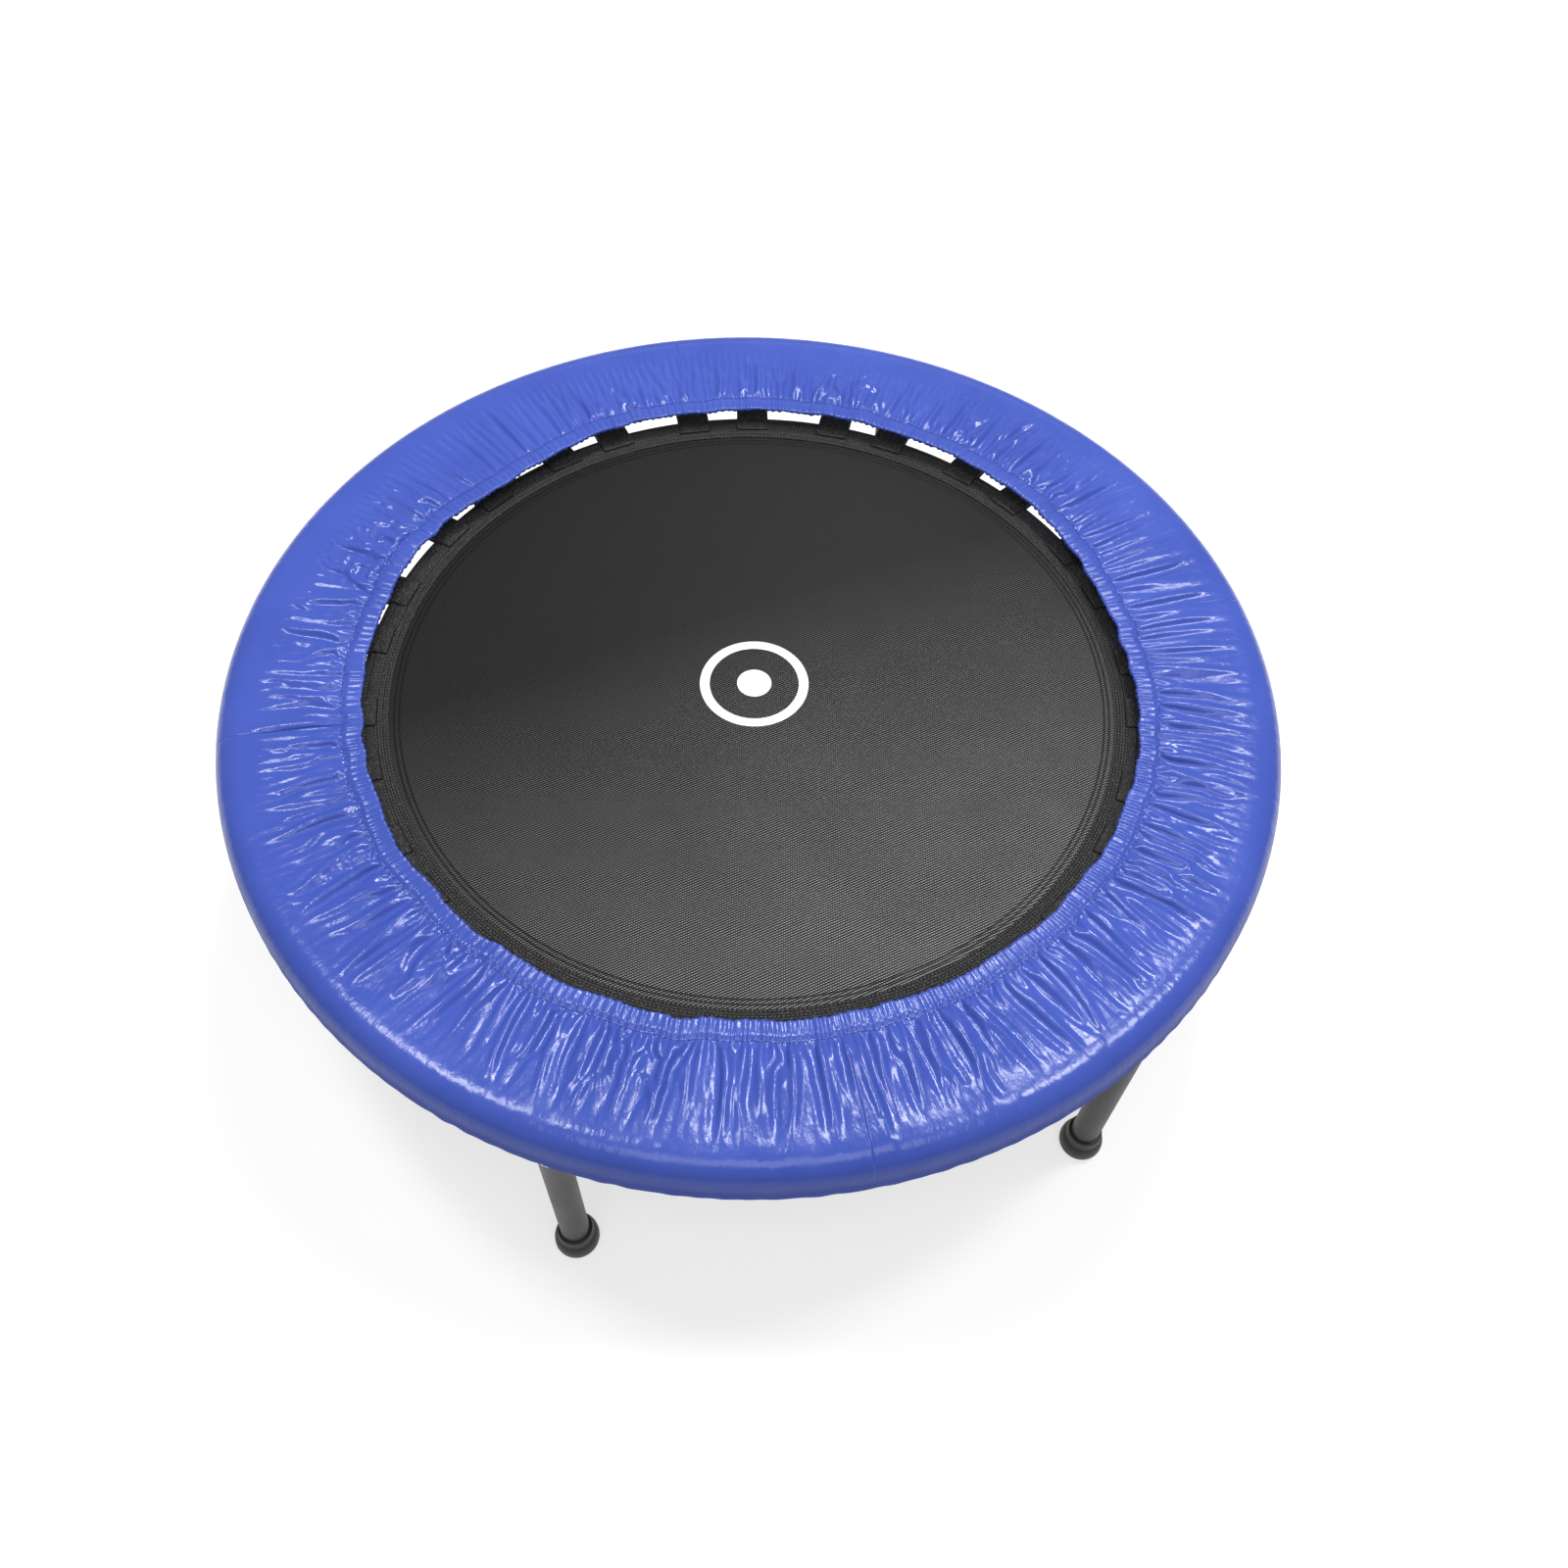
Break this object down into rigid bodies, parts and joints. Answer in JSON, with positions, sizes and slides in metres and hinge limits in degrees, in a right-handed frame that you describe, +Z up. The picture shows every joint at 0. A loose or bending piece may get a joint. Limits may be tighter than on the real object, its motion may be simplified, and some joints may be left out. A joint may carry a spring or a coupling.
{
  "type": "mini trampoline",
  "caption": "Round mini trampoline: steel tube ring on screw-in legs with rubber feet, woven mat on coil springs, and a gathered padded rim cover.",
  "frame": {"origin": "on the floor, at the centre of the ring of feet", "axes": "+Z up, along the axis of the round mat; +X to the right and -Y to the front"},
  "size_m": [0.965, 0.965, 0.265],
  "materials": {
    "cover_pvc": "glossy coated fabric",
    "mat_weave": "woven polypropylene",
    "webbing": "woven webbing",
    "elastic": "braided elastic",
    "foam": "closed-cell foam",
    "frame_steel": "powder coat",
    "leg_steel": "satin grey powder coat",
    "zinc_steel": "zinc plated",
    "spring_steel": "zinc plated spring wire",
    "foot_rubber": "moulded rubber"
  },
  "bodies": {
    "frame": {"frame_ring": "frame_steel", "leg_studs": "zinc_steel", "coil_springs": "spring_steel", "cover_panel_1": "cover_pvc", "cover_panel_2": "cover_pvc", "cover_panel_3": "cover_pvc", "cover_panel_4": "cover_pvc", "foam_pad": "foam", "inner_elastic": "elastic", "outer_elastic": "elastic"},
    "mat": {"jumping_mat": "mat_weave", "hem_webbing": "webbing", "webbing_tabs": "webbing", "wire_triangles": "zinc_steel"},
    "washer_1": {"lock_washer_1": "zinc_steel"},
    "leg_1": {"leg_insert_1": "zinc_steel", "leg_tube_1": "leg_steel", "rubber_foot_1": "foot_rubber"},
    "washer_2": {"lock_washer_2": "zinc_steel"},
    "leg_2": {"leg_insert_2": "zinc_steel", "leg_tube_2": "leg_steel", "rubber_foot_2": "foot_rubber"},
    "washer_3": {"lock_washer_3": "zinc_steel"},
    "leg_3": {"leg_insert_3": "zinc_steel", "leg_tube_3": "leg_steel", "rubber_foot_3": "foot_rubber"},
    "washer_4": {"lock_washer_4": "zinc_steel"},
    "leg_4": {"leg_insert_4": "zinc_steel", "leg_tube_4": "leg_steel", "rubber_foot_4": "foot_rubber"},
    "washer_5": {"lock_washer_5": "zinc_steel"},
    "leg_5": {"leg_insert_5": "zinc_steel", "leg_tube_5": "leg_steel", "rubber_foot_5": "foot_rubber"},
    "washer_6": {"lock_washer_6": "zinc_steel"},
    "leg_6": {"leg_insert_6": "zinc_steel", "leg_tube_6": "leg_steel", "rubber_foot_6": "foot_rubber"}
  },
  "joints": [
    {"name": "mat_bounce", "type": "slide", "parent": "frame", "child": "mat", "axis": [0, 0, 1], "range_m": [-0.08, 0], "stiffness_N_per_m": 9000, "deforming": ["coil_springs"]},
    {"name": "leg_1_travel", "type": "slide", "parent": "frame", "child": "washer_1", "axis": [0, 0, 1], "range_m": [-0.012, 0]},
    {"name": "leg_1_screw", "type": "hinge", "parent": "washer_1", "child": "leg_1", "pos_m": [-0.14586, -0.44364, 0.218], "axis": [0, 0, -1], "range_deg": [0, 2881]},
    {"name": "leg_2_travel", "type": "slide", "parent": "frame", "child": "washer_2", "axis": [0, 0, 1], "range_m": [-0.012, 0]},
    {"name": "leg_2_screw", "type": "hinge", "parent": "washer_2", "child": "leg_2", "pos_m": [0.31127, -0.34814, 0.218], "axis": [0, 0, -1], "range_deg": [0, 2881]},
    {"name": "leg_3_travel", "type": "slide", "parent": "frame", "child": "washer_3", "axis": [0, 0, 1], "range_m": [-0.012, 0]},
    {"name": "leg_3_screw", "type": "hinge", "parent": "washer_3", "child": "leg_3", "pos_m": [0.45713, 0.0955, 0.218], "axis": [0, 0, -1], "range_deg": [0, 2881]},
    {"name": "leg_4_travel", "type": "slide", "parent": "frame", "child": "washer_4", "axis": [0, 0, 1], "range_m": [-0.012, 0]},
    {"name": "leg_4_screw", "type": "hinge", "parent": "washer_4", "child": "leg_4", "pos_m": [0.14586, 0.44364, 0.218], "axis": [0, 0, -1], "range_deg": [0, 2881]},
    {"name": "leg_5_travel", "type": "slide", "parent": "frame", "child": "washer_5", "axis": [0, 0, 1], "range_m": [-0.012, 0]},
    {"name": "leg_5_screw", "type": "hinge", "parent": "washer_5", "child": "leg_5", "pos_m": [-0.31127, 0.34814, 0.218], "axis": [0, 0, -1], "range_deg": [0, 2881]},
    {"name": "leg_6_travel", "type": "slide", "parent": "frame", "child": "washer_6", "axis": [0, 0, 1], "range_m": [-0.012, 0]},
    {"name": "leg_6_screw", "type": "hinge", "parent": "washer_6", "child": "leg_6", "pos_m": [-0.45713, -0.0955, 0.218], "axis": [0, 0, -1], "range_deg": [0, 2881]}
  ],
  "couplings": [
    {"joint": "leg_1_screw", "follows": "leg_1_travel", "rad_per_m": -4188.8},
    {"joint": "leg_2_screw", "follows": "leg_2_travel", "rad_per_m": -4188.8},
    {"joint": "leg_3_screw", "follows": "leg_3_travel", "rad_per_m": -4188.8},
    {"joint": "leg_4_screw", "follows": "leg_4_travel", "rad_per_m": -4188.8},
    {"joint": "leg_5_screw", "follows": "leg_5_travel", "rad_per_m": -4188.8},
    {"joint": "leg_6_screw", "follows": "leg_6_travel", "rad_per_m": -4188.8}
  ]
}
